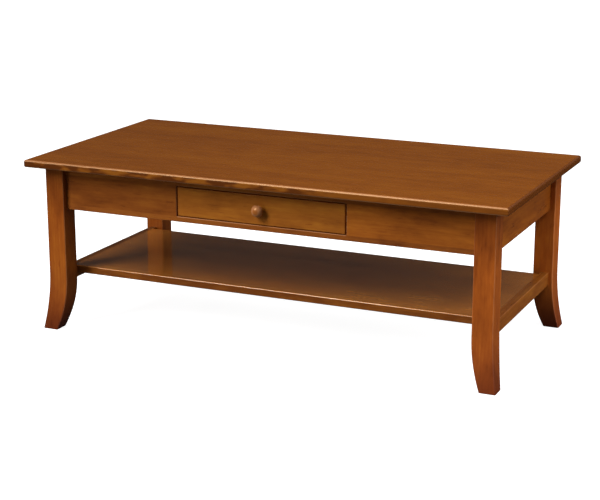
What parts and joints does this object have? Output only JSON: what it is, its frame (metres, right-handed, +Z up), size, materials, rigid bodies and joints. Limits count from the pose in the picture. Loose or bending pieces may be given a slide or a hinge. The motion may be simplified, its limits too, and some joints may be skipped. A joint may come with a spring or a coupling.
{
  "type": "coffee table",
  "caption": "Low rectangular wooden coffee table with a drawer in the front apron, a lower shelf and legs that sweep outwards at the foot.",
  "frame": {"origin": "middle of the table's outline at floor level", "axes": "+X along the length to the right seen from the front, +Y to the rear, +Z up; the drawer faces -Y"},
  "size_m": [1.2192, 0.6096, 0.4318],
  "materials": {
    "stained_wood": "satin lacquer over a warm brown stain",
    "drawer_wood": "planed, unstained",
    "plywood": "sanded plywood",
    "steel": "zinc plated"
  },
  "bodies": {
    "table": {"top_panel": "stained_wood", "leg_front_left": "stained_wood", "leg_front_right": "stained_wood", "leg_rear_left": "stained_wood", "leg_rear_right": "stained_wood", "front_rail_upper": "stained_wood", "front_rail_lower": "stained_wood", "front_apron_left": "stained_wood", "front_apron_right": "stained_wood", "rear_apron": "stained_wood", "end_apron_left": "stained_wood", "end_apron_right": "stained_wood", "shelf_panel": "stained_wood", "shelf_rail_left": "stained_wood", "shelf_rail_right": "stained_wood", "corner_block_front_left": "drawer_wood", "corner_block_front_right": "drawer_wood", "corner_block_rear_left": "drawer_wood", "corner_block_rear_right": "drawer_wood", "drawer_runner_left": "drawer_wood", "drawer_kicker_left": "drawer_wood", "rear_stop_left": "drawer_wood", "drawer_runner_right": "drawer_wood", "drawer_kicker_right": "drawer_wood", "rear_stop_right": "drawer_wood", "drawer_stop_block": "drawer_wood", "shelf_dowels": "drawer_wood", "corner_block_screws": "steel", "top_clips": "steel", "top_clip_screws": "steel", "stop_block_screw": "steel"},
    "drawer": {"drawer_front": "stained_wood", "drawer_side_left": "drawer_wood", "drawer_side_right": "drawer_wood", "drawer_back": "drawer_wood", "drawer_bottom": "plywood", "drawer_knob": "stained_wood", "knob_screw": "steel", "drawer_bottom_screws": "steel"}
  },
  "joints": [
    {"name": "drawer_slide", "type": "slide", "parent": "table", "child": "drawer", "axis": [0, -1, 0], "range_m": [0, 0.3]}
  ]
}
